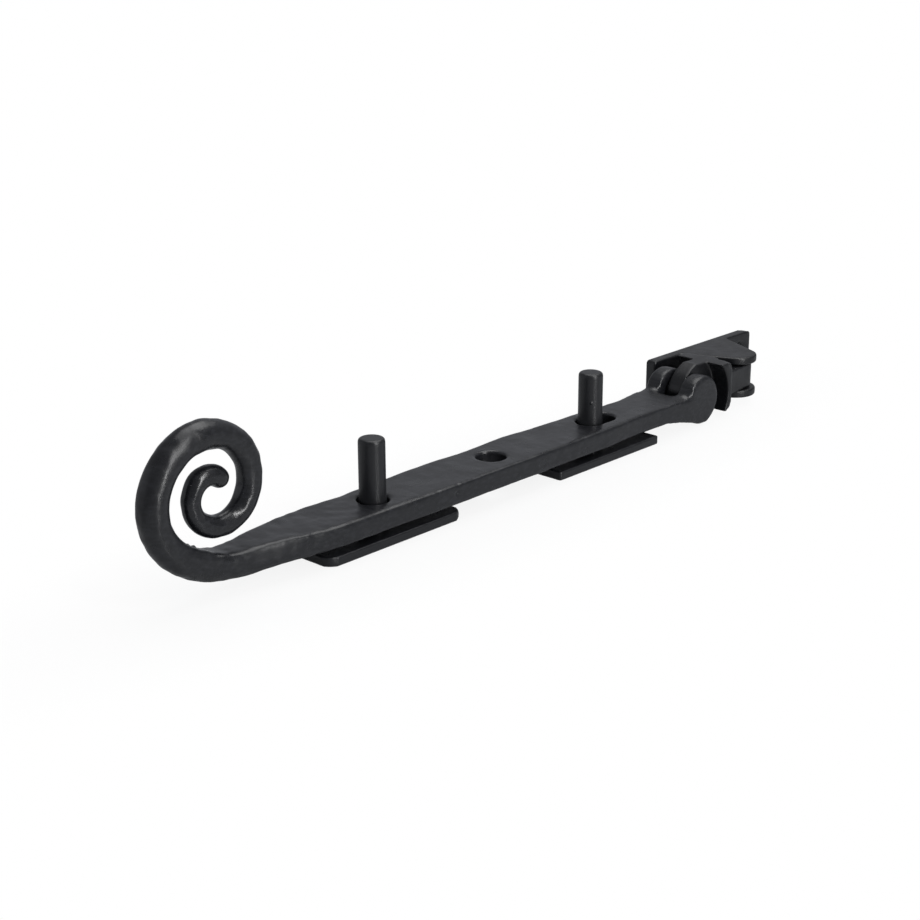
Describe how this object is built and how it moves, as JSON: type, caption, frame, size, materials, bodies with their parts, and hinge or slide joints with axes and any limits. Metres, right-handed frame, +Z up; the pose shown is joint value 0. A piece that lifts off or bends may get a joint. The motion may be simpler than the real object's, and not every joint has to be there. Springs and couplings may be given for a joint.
{
  "type": "casement stay",
  "caption": "Forged casement stay with a curled tail, a forked double-swivel knuckle, a base bracket and loose pins on screw plates; it holds a window open.",
  "frame": {"origin": "centre of the base bracket's back face, which is screwed to the window", "axes": "+Y into the window, +Z up along the upright pivot, and the closed arm lies along -X"},
  "size_m": [0.2916, 0.0281, 0.0499],
  "materials": {
    "forged_black": "satin black powder coat over forged steel",
    "pivot_black": "satin black powder coat over riveted steel",
    "plate_black": "satin black powder coat over flat steel",
    "pin_black": "satin black powder coat over turned steel"
  },
  "bodies": {
    "bracket": {"base_bracket": "forged_black", "bracket_pivot_pin": "pivot_black"},
    "link": {"swivel_link": "forged_black"},
    "arm": {"stay_arm": "forged_black", "knuckle_pivot_pin": "pivot_black"},
    "tail_pin_set": {"tail_end_pin_plate": "plate_black", "tail_end_pin": "pin_black"},
    "swivel_pin_set": {"swivel_end_pin_plate": "plate_black", "swivel_end_pin": "pin_black"}
  },
  "joints": [
    {"name": "link_swing", "type": "hinge", "parent": "bracket", "child": "link", "pos_m": [0, -0.0176, 0], "axis": [0, 0, 1], "range_deg": [-5, 185]},
    {"name": "arm_lift", "type": "hinge", "parent": "link", "child": "arm", "pos_m": [-0.0315, -0.0176, -0.0012], "axis": [0, 1, 0], "range_deg": [-85, 75]},
    {"name": "tail_pin_release", "type": "slide", "parent": "arm", "child": "tail_pin_set", "axis": [0, 0, 1], "range_m": [-0.03, 0.0018]},
    {"name": "swivel_pin_release", "type": "slide", "parent": "arm", "child": "swivel_pin_set", "axis": [0, 0, 1], "range_m": [-0.03, 0.0018]}
  ]
}
